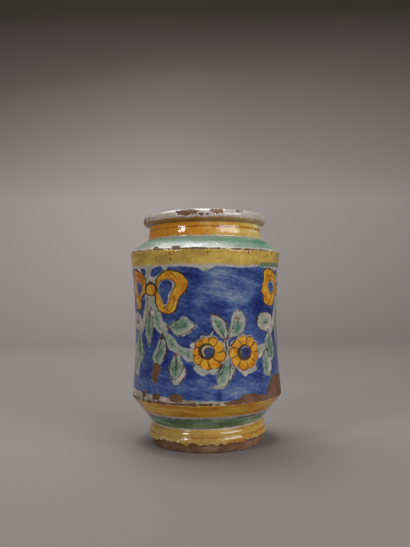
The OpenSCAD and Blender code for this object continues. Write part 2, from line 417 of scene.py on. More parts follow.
# %% Distances to shapes
def to_segments(u, z, path):
    """The distance from each spot to a line of short segments."""
    nearest = np.full(len(u), 1e9)
    for start, end in zip(path[:-1], path[1:]):
        run = end - start
        part = ((u - start[0]) * run[0] + (z - start[1]) * run[1]) / max(run @ run, 1e-9)
        part = np.clip(part, 0, 1)
        gap = np.hypot(u - start[0] - part * run[0], z - start[1] - part * run[1])
        nearest = np.minimum(nearest, gap)
    return nearest


def depth_inside(u, z, loop):
    """How deep each spot lies inside a closed shape; negative outside."""
    closed = np.concatenate([loop, loop[:1]])
    inside = np.zeros(len(u), bool)
    for start, end in zip(closed[:-1], closed[1:]):
        spans = (start[1] > z) != (end[1] > z)
        rise = end[1] - start[1]
        cross = start[0] + (z - start[1]) * (end[0] - start[0]) / (rise if rise else 1e-9)
        inside ^= spans & (u < cross)
    return np.where(inside, 1, -1) * to_segments(u, z, closed)


# %% The painter's canvas
AROUND = math.tau * UNROLLED_R
FAR = -20.0
NEARBY = 9


def shortest(gap):
    """A distance around the jar, taken the shorter way."""
    return (gap + AROUND / 2) % AROUND - AROUND / 2


class Canvas:
    """The layers of paint on one coat: for each, how deep each point lies inside it."""

    def __init__(self, skin, names):
        self.skin = skin
        self.layers = {name: skin.blank() for name in names}
        self.waver = speckle(skin.co, 5, 1) + 0.5 * speckle(skin.co, 2, 2)

    def spot(self, centre, shape):
        """The points near a shape drawn about a centre, in the shape's own u and z."""
        du = shortest(self.skin.u - centre[0])
        dz = self.skin.z - centre[1]
        low = shape.min(0) - NEARBY
        high = shape.max(0) + NEARBY
        near = (du > low[0]) & (du < high[0]) & (dz > low[1]) & (dz < high[1]) & (self.skin.front > 0.5)
        picked = np.nonzero(near)[0]
        return picked, du[picked], dz[picked]

    def lay(self, name, picked, cover):
        """Adds a shape's cover to a layer."""
        self.layers[name][picked] = np.maximum(self.layers[name][picked], cover)

    def lift(self, name, picked, cover):
        """Takes a shape's cover out of a layer."""
        self.layers[name][picked] = np.minimum(self.layers[name][picked], -cover)

    def shape(self, name, centre, loop, grow=0.0):
        """Fills a closed shape."""
        picked, du, dz = self.spot(centre, loop)
        self.lay(name, picked, depth_inside(du, dz, loop) + grow)

    def stroke(self, name, centre, path, half, taper=0.0):
        """Draws a stroke of a half width along a path, thinner at its end if tapered."""
        picked, du, dz = self.spot(centre, path)
        cover = half - to_segments(du, dz, path) + 0.18 * half * self.waver[picked]
        if taper:
            span = path[-1] - path[0]
            part = ((du - path[0][0]) * span[0] + (dz - path[0][1]) * span[1]) / max(span @ span, 1e-9)
            cover = cover - taper * half * np.clip(part, 0, 1)
        self.lay(name, picked, cover)

    def outline(self, centre, loop, thin, thick):
        """Draws a shape's dark outline, thick at the top and thin below."""
        picked, du, dz = self.spot(centre, loop)
        middle = loop.mean(0)
        bearing = np.arctan2(du - middle[0], dz - middle[1])
        side = 0.5 + 0.5 * np.cos(bearing)
        half = thin + (thick - thin) * side
        edge = np.abs(depth_inside(du, dz, loop))
        self.lay("line", picked, half * (1 + 0.25 * self.waver[picked]) - edge)


print("the wall is", round(AROUND, 1), "mm around")

# %% [markdown]
# ## The painter's motifs
#
# Three bows hang around the drum. From each, stems and leaves fall to both sides and meet at a pair of
# flowers. Bow shapes are measured from the bow's knot, and flower shapes from the middle of the pair.
# Repeating them is what the painter did too, so the back of the jar uses the same shapes with small slips
# of the hand.

# %% Outlines of the bow
LOOP_RIGHT = [
    (6.5, 4.5), (8.5, 9), (15, 14), (21, 15), (27.5, 13.5), (32, 10), (34.5, 5), (33, -0.5), (28, -5.5),
    (26, -10), (24.5, -15), (19.5, -18.5), (13.5, -18), (8.5, -15.5), (5.5, -9.5), (5.5, -3),
]
HOLE_RIGHT = [
    (8.5, 3.5), (11.5, 6.5), (17, 8), (22.5, 7), (24.5, 4), (22.5, 0), (20, -4), (18.5, -8.5), (17, -12),
    (14.5, -12.5), (12, -8.5), (9.5, -4), (8, 0),
]
BLUE_RIGHT = [
    (9.5, 1), (11, 4), (13, 6.5), (16, 7.5), (20, 7), (22, 4.5), (21.5, 1), (19.5, -2), (18, -5),
    (17, -9.5), (15.5, -11.5), (13.5, -10), (11.5, -6), (9.5, -2),
]
LOOP_LEFT = [
    (-5, 5.5), (-6, 10), (-11, 13.5), (-18, 15.5), (-23, 16.5), (-28, 14.5), (-29, 8), (-31, 0),
    (-27.5, -4.5), (-26.5, -11), (-24, -15), (-20, -16.5), (-15, -14.5), (-13.5, -8), (-12, -5), (-6, -2),
]
HOLE_LEFT = [(-20.5, 7), (-15, 6.5), (-11, 3), (-12, -1.5), (-18, -5), (-22, -1.5), (-22.5, 3.5)]
BLUE_LEFT = [(-19.5, 6), (-15, 5.5), (-12, 2.5), (-13, -1), (-18, -3.8), (-20, -1), (-20.5, 3)]
FAR_LOOP = [
    (-28, 15.5), (-22.5, 17), (-14, 15.5), (-8, 11), (-5, 5), (-6, -1), (-8, -7), (-11, -11.5),
    (-17, -13), (-24, -11.5), (-27, -9), (-27.5, -5), (-30.5, -1.5), (-30, 1.5), (-28.5, 7), (-28.5, 12),
]
FAR_HOLE = [
    (-18.5, 8), (-12.5, 6), (-10, 2), (-13, -2), (-17.5, -2.5), (-20.5, 0), (-22.5, 3), (-21.5, 6),
]
FAR_BLUE = [
    (-18, 7), (-13.5, 5.2), (-11.5, 1.8), (-14, -1.2), (-17.5, -1.6), (-20, 0.6), (-21.2, 3),
    (-20.4, 5.4),
]
KNOT = [(-6.5, 0.5), (-4.5, 3.5), (0.5, 5.5), (5.5, 3.5), (7, 0.5), (5.5, -3), (0.5, -4.5), (-5, -3)]
FOLDS = [
    [(21, 13), (23.5, 11), (26, 8.5)],
    [(13.5, -13.5), (16.5, -15), (18.5, -16.5)],
    [(23, -4.5), (22.5, -10.5), (19.5, -15.5)],
    [(-10, 9), (-17, 11.5), (-25, 11)],
    [(-17, -8), (-21, -12)],
]
SKY = [(-16, 19), (-7, 7), (-5, 4), (6, 4), (9, 8), (17, 18)]
SKY_BLUE = [
    [(1.5, 12), (3.5, 15.5), (8, 17.5), (12.5, 18), (14.5, 16), (13.5, 14), (9, 11.5), (5, 10),
      (2.5, 10.5)],
    [(-11, 16), (-7.5, 17), (-4.5, 15.5), (-4.5, 12.5), (-7, 11), (-9.5, 13)],
]
SKIRT = [
    (-7, -3), (-7, -9.5), (-9.5, -15.5), (-13.5, -24), (-22, -28.5), (-17, -32), (-12, -29.5),
    (-8, -28.5), (2, -28.5), (7, -29.5), (12, -34), (16, -32.5), (16, -26.5), (12, -23.5), (10.5, -18.5),
    (7, -14), (5, -4),
]
print("the bow spans", LOOP_RIGHT[6][0] - LOOP_LEFT[7][0], "mm")

# %% Outlines of the stems and leaves
STEM_RIGHT = [
    (2.5, -8), (7, -14), (10.5, -21.5), (11.5, -28), (16, -32.5), (22, -36.5), (25.5, -41.5), (30.5, -44),
    (38, -45.5), (38.5, -53), (33, -53.5), (28.5, -50), (22, -46.5), (18, -44.5), (12, -35), (7.5, -31.5),
    (2.5, -24),
]
STEM_LEFT = [
    (-3, -6), (-7.5, -21), (-15, -30), (-21, -37), (-28, -43.5), (-37, -45), (-37, -50), (-28, -48),
    (-22, -43), (-16, -36), (-10, -28),
]
BOW_LEAVES = [
    ([(-1, -16.5), (2, -22.5), (1, -31), (-0.5, -38), (-3, -44.5), (-4.5, -41), (-7.5, -35),
      (-8.5, -29.5), (-6.5, -22)], 4, 0.2, (0, 0)),
    ([(11.5, -33.5), (6.5, -43), (2.5, -49.5), (2, -54), (4, -58.5), (10.5, -56), (14.5, -49.5),
      (15.5, -44), (14.5, -38.5)], 4, 1.6, (0, 0)),
    ([(24, -47.5), (20.5, -54.5), (18, -59.5), (19.5, -65), (21.5, -69.5), (23.5, -72), (28.5, -69.5),
      (32, -62.5), (30.5, -58.5), (28.5, -54.5), (26.5, -49)], 5, 0.6, (-2, 4)),
    ([(18.5, -29), (20.5, -25.5), (26, -23), (31, -20), (35, -23), (40.5, -27.5), (37, -30.5),
      (31.5, -34.5), (27, -35), (22.5, -33)], 5, 0.4, (-2, 2)),
    ([(-19, -32), (-25, -39), (-23, -49), (-16.5, -58), (-11, -51.5), (-13, -42.5), (-16.5, -34.5)], 3,
      1.0, (0, 0)),
    ([(-14, -28.5), (-24, -32.5), (-32, -30.5), (-35, -25), (-32.5, -20), (-26.5, -18), (-15.5, -20.5)],
      3, 6.0, (0, 0)),
    ([(-22.5, -47), (-17, -58), (-20, -68.5), (-28, -66.5), (-29.5, -56.5), (-27.5, -49)], 2, 0.6,
      (-4, 0)),
]
BOW_LINES = [
    (0.8, [(11.5, -33.5), (15, -39), (16, -45), (15.5, -49.5), (13.5, -52)]),
    (1.2, [(11.5, -34), (12, -37.5)]),
    (0.4, [(30, -59), (27, -64.5), (23.5, -67.5), (21, -68)]),
    (0.45, [(40, -27), (36, -30.5), (31, -33), (27, -34)]),
    (0.75, [(-34.5, -19), (-35.5, -25), (-32, -31), (-24.5, -34)]),
    (0.35, [(-19, -32), (-25, -39), (-23, -49)]),
    (0.6, [(0, -13.5), (-0.5, -17)]),
    (0.3, [(-4, -6), (-5, -14)]),
    (0.3, [(11, -39), (8, -47), (6, -54)]),
    (0.35, [(24, -50), (25, -57), (24, -62)]),
    (0.35, [(-33, -25.5), (-26, -25.5), (-19, -25.5)]),
    (0.3, [(20, -33.5), (19, -28), (26, -22.5), (31, -19.7)]),
    (0.35, [(17, -60), (22, -71), (24, -72.5)]),
]
BOW_SPOTS = [
    (0.9, [(16, -28), (19.5, -30)]),
    (0.9, [(23.5, -48.5), (25, -49)]),
    (1.3, [(-3, -17), (-1, -21)]),
]
BOW_GREENS = [
    (1.1, [(22, -25), (22.5, -30)]),
    (0.5, [(-5, -5), (-6, -14), (-8, -22)]),
    (0.5, [(3, -5), (5, -13), (9, -23)]),
    (1.0, [(24, -43), (30, -46), (37, -47)]),
]
PAIR_LEAVES = [
    ([(-0.5, 8), (-7, 13.5), (-10.5, 18.5), (-12, 23.5), (-13, 29.5), (-6.5, 27.5), (-2, 23.5), (0, 17)],
      4, 2.0, (0, 0)),
    ([(0, 10.5), (1.5, 18), (3, 23), (5, 29.5), (8, 32), (12.5, 30), (15.5, 23), (14, 18), (11, 13.5)], 4,
      1.3, (-0.5, -6)),
    ([(-1.5, -6.5), (-4.5, -8.5), (-8, -14.5), (-9, -19.5), (-8.5, -23), (-12.5, -26), (-7.5, -27),
      (-5, -27), (-1.5, -24.5), (1, -20.5), (5.5, -14.5), (6.5, -12.5), (2.5, -10.5)], 5, 0.9, (-1.5, 2)),
]
PAIR_LINES = [
    (0.8, [(-13, 29.5), (-6.5, 27.5), (-2, 23.5), (0, 17), (-0.5, 9)]),
    (0.5, [(-13, 18.5), (-7.5, 13.5), (-1, 7.5)]),
    (0.4, [(-10, 24), (-6, 17), (-2, 10.5)]),
    (0.4, [(-3.5, -8), (-7, -14.5), (-8.5, -19)]),
    (0.4, [(1, -9), (1, -16.5), (-0.5, -23.5)]),
    (0.35, [(2.5, -12), (5, -14.5), (0, -21.5)]),
    (0.65, [(-26.5, 9.5), (-22.5, 11.5), (-20, 14.5), (-16.5, 13.5), (-13, 13)]),
    (0.45, [(-2, 7.5), (-1, 4), (0.5, 0.5)]),
    (0.35, [(-1.5, 4.5), (-1.5, -0.5), (-1, -6.5)]),
    (0.5, [(2, 5), (5, 7), (9, 12.5), (12, 12)]),
    (0.3, [(4, 17), (8, 22), (11, 28)]),
    (0.35, [(11, 13.5), (14, 18), (15.5, 23)]),
]
PAIR_WHITES = [
    [(-24.5, -10), (-25.5, -12.5), (-19.5, -17), (-15, -15), (-11, -16.5), (-9, -14), (-8, -12),
      (-15, -8)],
    [(-22, 7), (-26.5, 7), (-28.5, 5), (-27, 3.5), (-22, 3)],
    [(-20, 12.5), (-15, 12.5), (-11, 16), (-14, 10)],
    [(7.5, -12), (11, -16), (13.5, -18.5), (16, -17), (22.5, -15.5), (24.5, -12.5), (15, -8)],
    [(28, 3.5), (32.5, 4), (33.5, -1), (29, -5.5), (25, 0)],
]
FLOWERS = [
    ((-14.3, -0.5), 12.5, (-1.5, 1.6), (1.4, -0.8), 4.0), ((14.3, -1), 13.3, (0, 0.5), (0.7, -0.3), 4.3),
]
print(len(BOW_LEAVES), "leaves at each bow,", len(PAIR_LEAVES), "at each pair of flowers")

# %% Paint one bow, one leaf, one flower
PETALS = 9
RING_R = 5.2


def paint_leaf(canvas, centre, points, tip, pale, shift):
    """A pale reserve, and a green wash inside it that keeps off one side."""
    loop = pointed(points, tip)
    canvas.shape("white", centre, loop, 0.4)
    picked, du, dz = canvas.spot(centre, loop)
    wash = np.minimum(depth_inside(du, dz, loop), depth_inside(du - shift[0], dz - shift[1], loop))
    canvas.lay("leaf", picked, wash - 0.7 * pale)
    canvas.lay("line", picked, 0.3 + 0.5 * canvas.waver[picked] - np.abs(depth_inside(du, dz, loop) - 0.1))
    stalk = np.array(points[0])
    vein = stalk + np.outer([0.08, 0.45, 0.8], np.array(points[tip]) - stalk)
    vein[1] += 0.25 * (loop.mean(0) - vein[1])
    canvas.stroke("line", centre, smooth_line(vein), 0.38, 0.5)


def paint_bow(canvas, centre, left_loop, left_hole, left_blue):
    """Ribbon loops in ochre around their holes, the knot, and the bare ground between them."""
    canvas.shape("white", centre, smooth_loop(SKY), 0.5)
    canvas.shape("white", centre, smooth_loop(SKIRT), 0.3)
    for patch in SKY_BLUE + [BLUE_RIGHT, left_blue]:
        canvas.shape("sky", centre, smooth_loop(patch))
    for loop, hole in ((LOOP_RIGHT, HOLE_RIGHT), (left_loop, left_hole)):
        outer = smooth_loop(loop)
        picked, du, dz = canvas.spot(centre, outer)
        whole = depth_inside(du, dz, outer)
        ribbon = np.minimum(whole, -depth_inside(du, dz, smooth_loop(hole)))
        waver = canvas.waver[picked]
        canvas.lay("white", picked, whole + 0.3)
        canvas.lay("ochre", picked, ribbon)
        canvas.lay("line", picked, 0.6 + 0.3 * waver - np.abs(whole - 0.1))
        canvas.lay("petal", picked, 0.4 + 0.45 * waver - np.abs(ribbon - 0.1))
    for fold in FOLDS:
        canvas.stroke("petal", centre, smooth_line(fold), 0.6, 0.5)
    knot = smooth_loop(KNOT)
    canvas.shape("white", centre, knot, 0.4)
    canvas.shape("ochre", centre, knot)
    canvas.outline(centre, knot, 0.55, 1.15)


def paint_flower(canvas, centre, radius, ring, eye, eye_r):
    """Ochre petals around a dark ring, a pale crescent and a blue eye."""
    reach = np.array([(-radius, -radius), (radius, radius)])
    picked, du, dz = canvas.spot(centre, reach)
    far = np.hypot(du, dz)
    waver = canvas.waver[picked]
    inner = np.hypot(du - ring[0], dz - ring[1])
    bearing = np.arctan2(dz - ring[1], du - ring[0])
    part = ((bearing - 0.25 * far / radius) / math.tau * PETALS + 0.3 + 0.12 * waver) % 1
    rim = radius * (0.85 + 0.15 * np.abs(np.sin(math.pi * part)) ** 0.5) + 0.4 * waver
    left = 0.5 - 0.5 * np.cos(bearing - 0.5)
    canvas.lay("white", picked, rim + 1.1 - far)
    canvas.lift("leaf", picked, rim + 0.3 - far)
    canvas.lift("line", picked, rim + 0.3 - far)
    canvas.lay("ochre", picked, np.minimum(rim - far, inner - RING_R))
    between = np.minimum(part, 1 - part) / PETALS * math.tau * inner
    half = 0.32 + 0.5 * (inner / radius) ** 2 + 0.2 * waver
    canvas.lay("petal", picked, np.minimum(half - between, np.minimum(rim - far, inner - RING_R)))
    canvas.lay("petal", picked, 0.42 + 0.5 * waver - np.abs(far - rim))
    canvas.lay("line", picked, 0.55 + 0.9 * left + 0.3 * waver - np.abs(inner - 5.4 + 0.1 * left))
    canvas.lay("cream", picked, 4.7 - inner)
    canvas.lay("eye", picked, eye_r + 0.3 * waver - np.hypot(du - ring[0] - eye[0], dz - ring[1] - eye[1]))


print("brushes ready")

# %% [markdown]
# ## The drum's coat and its painting
#
# The drum carries most of the ornament, so its coat has the finest mesh: each cell is about 0.8 mm tall
# and 0.65 mm wide. The painter worked from light to dark: white ground, blue around the reserved shapes,
# green washes, ochre, and last the dark outlines. The layers are kept apart here in the same order.

# %% Turn the drum's coat
drum_mesh = glaze_ring("glaze_drum", at_heel, at_arris, 0.78, 608)
drum_skin = Skin(drum_mesh)
drum = Canvas(drum_skin, ["white", "blue", "sky", "teal", "leaf", "ochre", "petal", "cream", "eye", "line"])
print("drum coat", len(drum_mesh.polygons), "faces")

# %% Paint the bows, stems, leaves and flowers
KNOT_Z = 127
PAIR_Z = 79.5
KNOTS = [-47.5, 78.2, 203.8]
PAIRS = [16.3, 142, -109.4]
BAND_SPECKS = [
    (-26, 149.5, 0.9), (-26.5, 154, 0.6), (2, 154.6, 0.7), (33, 155.4, 0.8), (59.5, 156.2, 1.1),
    (-38.5, 151.3, 0.7), (-23, 155, 0.5), (110, 153, 0.8), (168, 150.5, 0.7), (-120, 154.5, 0.9),
]
REPEATS = (0, 125.7, -125.7)
slips = np.random.default_rng(5)


def slip(points, copied):
    """Shape points as first drawn, or a little differently where the painter repeats them."""
    points = np.array(points, float)
    if copied:
        points = points * slips.uniform(0.96, 1.04) + slips.uniform(-1, 1, 2)
    return points


def paint_strokes(canvas, layer, centre, strokes):
    """Draws a list of strokes, each a half width and a path."""
    for half, path in strokes:
        canvas.stroke(layer, centre, smooth_line(path), half, 0.4)


for number, (knot_u, pair_u) in enumerate(zip(KNOTS, PAIRS)):
    knot_at = (knot_u, KNOT_Z)
    pair_at = (pair_u, PAIR_Z)
    for stem in (STEM_RIGHT, STEM_LEFT):
        drum.shape("white", knot_at, smooth_loop(stem), 0.3)
        drum.shape("leaf", knot_at, smooth_loop(stem), -1.1)
    for points, *manner in BOW_LEAVES:
        paint_leaf(drum, knot_at, slip(points, number == 2), *manner)
    for points, *manner in PAIR_LEAVES:
        paint_leaf(drum, pair_at, slip(points, number), *manner)
    for patch in PAIR_WHITES:
        drum.shape("white", pair_at, smooth_loop(patch), 0.3)
    drum.stroke("white", pair_at, smooth_line([(-1.5, 8), (-1.2, 0), (-1, -8)]), 1.7)
    if number == 1:
        paint_bow(drum, knot_at, FAR_LOOP, FAR_HOLE, FAR_BLUE)
    else:
        paint_bow(drum, knot_at, LOOP_LEFT, HOLE_LEFT, BLUE_LEFT)
    for (flower_u, flower_z), *shape in FLOWERS:
        paint_flower(drum, (pair_u + flower_u, PAIR_Z + flower_z), *shape)
    paint_strokes(drum, "leaf", knot_at, BOW_GREENS)
    paint_strokes(drum, "petal", knot_at, BOW_SPOTS)
    paint_strokes(drum, "petal", pair_at, [(1.0, [(7, 26), (10.5, 25)])])
    paint_strokes(drum, "line", knot_at, BOW_LINES)
    paint_strokes(drum, "line", pair_at, PAIR_LINES)
for speck_u, speck_z, tall in BAND_SPECKS:
    drum.stroke("line", (speck_u, speck_z), np.array([(0, tall), (0, -tall)]), 0.5, 0.5)
print("painted", len(KNOTS), "bows and", len(PAIRS) * len(FLOWERS), "flowers")

# %% Lay the blue ground around them
BLUE_TOP = 144.3
BLUE_LOW = 44.6
BAND_LOW = 146.2
u_all = drum_skin.u
z_all = drum_skin.z
wave = speckle(drum_skin.co, 14, 3)
blue_top = BLUE_TOP + 1.0 * wave - 3.6 * np.exp(-((u_all / 5) ** 2))
blue_low = BLUE_LOW - 3.2 * np.sin(drum_skin.turn + 0.3) + 0.8 * wave
field = np.minimum(blue_top - z_all, z_all - blue_low)
margin = 0.3 * drum.waver
drum.layers["blue"] = np.maximum(np.minimum(field, -drum.layers["white"] - margin), drum.layers["sky"])
drum.layers["band"] = z_all - BAND_LOW - 0.8 * wave
drum.layers["low"] = 0.7 * (1 - ease(42, 52, z_all))
TEAL = [(43, 145.2), (48, 148), (59, 149), (72, 149.6), (80, 149), (80, 146), (62, 145.4)]
drum.shape("teal", (0, 0), smooth_loop(TEAL))
print("blue covers", round(float((drum.layers["blue"] > 0).mean()), 3), "of the coat")

# %% [markdown]
# The blue was washed on with a broad brush, so it is deep in some places and thin in others. Long thin
# noise gives the hairs of the brush, and a handful of soft blots give the places where it was full or
# dry.

# %% Full and dry places of the brush
def hairs(skin, long, wide, lean, seed):
    """Marks of the brush's hairs: noise drawn out along a leaning line, joined at the back."""
    cosine = math.cos(math.radians(lean))
    sine = math.sin(math.radians(lean))

    def drawn(shift):
        across = skin.u + shift
        marks = [(across * cosine + skin.z * sine) / long, (skin.z * cosine - across * sine) / wide]
        return speckle(np.column_stack([*marks, np.zeros(len(across))]), 1, seed)

    join = ease(AROUND / 2 - 30, AROUND / 2, skin.u)
    return drawn(0) * (1 - join) + drawn(-AROUND) * join


PALE_SWEEP = [
    (-7, 130), (-1, 134), (3, 138.5), (8, 141.5), (18, 141.5), (27, 138), (44.5, 131.5), (43, 127.5),
    (34, 116), (21, 115), (13, 117), (3, 122), (-7, 126),
]
BLOTS = [
    (2, 141, 9, 3.5, 0.4), (16, 142, 9, 4, 0.1), (38, 141, 10, 5, -0.15), (-8, 136, 6, 4, -0.15),
    (8, 130, 12, 4, 0.06), (24, 122, 13, 4.5, 0.2), (0, 124.5, 6, 3.5, 0.14), (22, 131, 5, 3, -0.16),
    (-4, 118, 6, 3.5, 0.3), (7, 115, 7, 3, -0.12), (23, 112, 6, 3, 0.15), (47, 113, 6, 11, -0.4),
    (-15, 106, 4, 5, -0.3), (-10, 139, 11, 4, -0.25), (-12, 67, 6, 8, -0.22), (-33, 75, 4, 6, -0.3),
    (-51, 69, 6, 8, -0.2), (-50, 51, 12, 5, 0.2), (-20, 51, 10, 4, 0.1), (-4, 57, 7, 5, 0.3),
    (-33, 56, 6, 4, -0.15), (8.8, 48.5, 1.8, 4.5, -0.45), (22, 49, 15, 4.5, 0.4), (2, 48, 6, 4, 0.14),
    (-62, 90, 5, 8, -0.3), (-44, 92, 4, 7, -0.3), (-12, 122, 5, 6, -0.3), (59, 109, 4, 6, -0.45),
    (43, 116, 5, 6, -0.2),
]
BRUSHES = [(0.17, 30, 5, -12, 3), (0.14, 16, 1.8, -18, 4), (0.13, 12, 1.1, -14, 8)]
WASH = 0.47
wash = WASH
for amount, *manner in BRUSHES:
    wash = wash + amount * hairs(drum_skin, *manner)
wash = wash + 0.1 * wave
for blot_u, blot_z, wide, tall, amount in BLOTS:
    for shift in REPEATS:
        du = shortest(u_all - blot_u - shift)
        wash = wash + amount * np.exp(-((du / wide) ** 2) - ((z_all - blot_z) / tall) ** 2)
sweep_loop = smooth_loop(PALE_SWEEP)
for shift in REPEATS:
    picked, du, dz = drum.spot((shift, 0), sweep_loop)
    wash[picked] += 0.2 * ease(-1, 2.5, depth_inside(du, dz, sweep_loop) + 1.5 * wave[picked])
drum.layers["wash"] = np.clip(wash, 0, 1)
print("wash from", round(float(wash.min()), 2), "to", round(float(wash.max()), 2))

# %% [markdown]
# ## Chips and wear
#
# Tin glaze chips off along edges and where the body was knocked. A chip is a real hollow: the coat sinks
# below the clay, so the clay section behind it shows. The list gives the larger losses on the drum by
# their places, and a random wear runs along both arrises.

# %% Where the glaze is lost
DRUM_LOSSES = [
    [(-45, 69), (-40, 70), (-38, 66), (-40, 61), (-42, 56), (-45, 55), (-46.5, 61)],
    [(-28, 47), (-22, 48), (-18, 46), (-19, 43), (-24, 42.5), (-28, 43.5)],
    [(-44, 47), (-40, 47.5), (-37, 45), (-39, 43), (-44, 43)],
    [(-57, 46.5), (-54, 47), (-53, 44.5), (-55, 43), (-57.5, 44)],
    [(12, 42.3), (20, 42.8), (25, 44), (26.5, 46.4), (33, 46.8), (41, 45.6), (50, 43.8), (50, 40.2),
      (30, 40), (14, 40.3)],
    [(52, 44), (53, 49), (57, 53), (61, 57.5), (68, 58), (80, 56), (90, 51), (88, 41), (70, 40),
      (56, 40.2)],
    [(-112, 46), (-104, 48), (-98, 45), (-103, 42.5), (-111, 42.7)],
    [(150, 49), (157, 52), (163, 48), (160, 43), (152, 42.6)],
]
UPPER_KNOCKS = [(-7, 13, 0.2), (24, 15, 0.2), (-37, 2.5, 1.0), (-20, 3.5, 0.9), (130, 30, 0.4)]
UPPER_WEAR = (at_arris, -0.1, 10, UPPER_KNOCKS)
LOWER_WEAR = (at_heel + 0.6, 0.1, 8, [(-22, 36, 0.6), (150, 40, 0.5)])
CHIP_DEPTH = 1.15


def worn_edge(skin, at, least, seed, knocks):
    """How deep each point lies in the wear of an arris; a knock has a turn, a spread and a depth."""
    ring = UNROLLED_R * np.column_stack([np.sin(skin.turn), np.cos(skin.turn), np.zeros(len(skin.u))])
    reach = least + 0.8 * speckle(ring, 9, seed) + 1.0 * speckle(ring, 2.2, seed + 1)
    for degrees, spread, extra in knocks:
        reach = reach + extra * np.exp(-((skin.away(degrees) / spread) ** 4))
    return reach - np.abs(skin.along - at) + 0.5 * speckle(skin.co, 1.2, seed + 2)


def sink(skin, loss):
    """Sinks the coat below the clay where the glaze is lost."""
    skin.push(-CHIP_DEPTH * ease(-0.45, 0.35, loss))
    skin.keep("loss", loss)


ragged = 0.9 * speckle(drum_skin.co, 4, 6) + 0.5 * speckle(drum_skin.co, 1.6, 7)
ragged = ragged + 0.9 * speckle(drum_skin.co, 1.6, 73)
loss = drum_skin.blank()
for patch in DRUM_LOSSES:
    loop = smooth_loop(patch)
    picked, du, dz = drum.spot((0, 0), loop)
    loss[picked] = np.maximum(loss[picked], depth_inside(du, dz, loop) + ragged[picked])
loss = np.maximum(loss, worn_edge(drum_skin, *LOWER_WEAR))
loss = np.maximum(loss, worn_edge(drum_skin, *UPPER_WEAR))
sink(drum_skin, loss)
for name, cover in drum.layers.items():
    if name != "sky":
        drum_skin.keep(name, cover)
drum_skin.settle()
print("glaze lost on", round(float((loss > 0).mean()), 3), "of the drum")

# %% [markdown]
# ## The other coats
#
# Heel, foot, shoulder, neck and lip were banded on the turning wheel: the brush is held still and the jar
# goes round. Their layers are simple stripes along the outline, with edges that wander a little.


# %% A coat with stripes
FOOT_DRIPS = [(-19, 3, 2.6), (24, 9, 1.2), (-42, 8, -1.6), (8, 6, 0.8), (120, 12, 1.6), (-130, 10, 1.4)]
SHOULDER_CHIPS = (at_arris + 1.6, -4, 14, [(-38, 3.0, 4.7), (-21, 4, 4.4)])
LIP_CHIPS = [
    (-16, 2.2, 9, 2.7), (11, 3.4, 5.6, 2.9), (32.5, 3.5, 2.5, 1.0), (-76, 1, 8, 3.5), (-2, -0.5, 3, 0.9),
    (95, 4, 7, 2.5), (160, 6, 8, 2.5),
]


def banded(name, start, end, pace, steps, stripes, loss_of):
    """A coat of glaze with painted stripes, each given by its ends along the outline."""
    mesh = glaze_ring(name, start, end, pace, steps)
    skin = Skin(mesh)
    wander = 0.35 * speckle(skin.co, 12, 21) + 0.2 * speckle(skin.co, 4, 22)
    for layer, (low, high) in stripes.items():
        skin.keep(layer, np.maximum(FAR, np.minimum(skin.along - low, high - skin.along) + wander))
    skin.keep("left", 2.2 * np.cos(skin.turn + 1.15) + 1.2 * speckle(skin.co, 9, 23))
    loss = loss_of(skin)
    skin.push(0.35 * ease(-2.2, -0.9, loss) * (1 - ease(-0.6, -0.1, loss)) * (skin.along < at_crease))
    sink(skin, loss)
    skin.settle()
    return mesh


def foot_loss(skin):
    """The ragged end of the glaze above the bare foot, lower where it ran down."""
    edge = at_edge + 4.9 + 1.3 * speckle(skin.co, 13, 31) + 1.9 * speckle(skin.co, 4.5, 32)
    for degrees, spread, drop in FOOT_DRIPS:
        edge = edge - drop * np.exp(-((skin.away(degrees) / spread) ** 2))
    return edge + 2.2 * speckle(skin.co, 1.7, 33) - skin.along


def shoulder_loss(skin):
    """Wear along the upper arris, and two chips above it."""
    return np.maximum(worn_edge(skin, *UPPER_WEAR), worn_edge(skin, *SHOULDER_CHIPS))


def lip_loss(skin):
    """Chips on the lip, each at a turn in degrees and a distance above the roll's widest line."""
    broken = 0.8 * speckle(skin.co, 3.5, 41) + 1.6 * speckle(skin.co, 1.4, 42)
    cover = skin.blank()
    for degrees, above, wide, tall in LIP_CHIPS:
        across = np.hypot(skin.away(degrees) / wide, (skin.along - at_roll - above) / tall)
        cover = np.maximum(cover, (1 - across) * min(wide, tall))
    return cover + broken - 0.1


at_groove = mark(foot_r + 2.3, groove_z)
foot_mesh = banded("glaze_foot", at_edge, at_crease, 0.4, 416, {
    "yellow": (at_edge - 5, at_crease - 0.5),
    "pool": (at_groove - 0.7, at_groove + 0.5),
}, foot_loss)
heel_span = at_heel - at_crease
heel_mesh = banded("glaze_heel", at_crease, at_heel, 0.45, 416, {
    "green": (at_crease + 0.055 * heel_span, at_crease + 0.41 * heel_span),
    "line": (at_crease + 0.42 * heel_span, at_crease + 0.455 * heel_span),
    "yellow": (at_crease + 0.54 * heel_span, at_heel + 2),
}, lambda skin: worn_edge(skin, *LOWER_WEAR))
shoulder_span = at_neck - at_arris
# The haze stripe is a pale blue-green wash that also greys the white of the lower shoulder: partly painted
# shade.
shoulder_mesh = banded("glaze_shoulder", at_arris, at_neck, 0.45, 416, {
    "haze": (at_arris + 0.1 * shoulder_span, at_arris + 0.7 * shoulder_span),
    "green": (at_arris + 0.46 * shoulder_span, at_arris + 0.95 * shoulder_span),
}, shoulder_loss)
neck_mesh = banded("glaze_neck", at_neck, at_lip, 0.4, 416, {
    "yellow": (at_neck + 0.6, at_lip + 5),
    "pool": (at_neck + 6.9, at_neck + 8.3),
}, Skin.blank)
lip_mesh = banded("glaze_lip", at_lip, at_mouth, 0.4, 480, {
    "yellow": (at_lip - 5, at_roll - 2.2),
}, lip_loss)
for mesh in (foot_mesh, heel_mesh, shoulder_mesh, neck_mesh, lip_mesh):
    print(mesh.name, len(mesh.polygons), "faces")

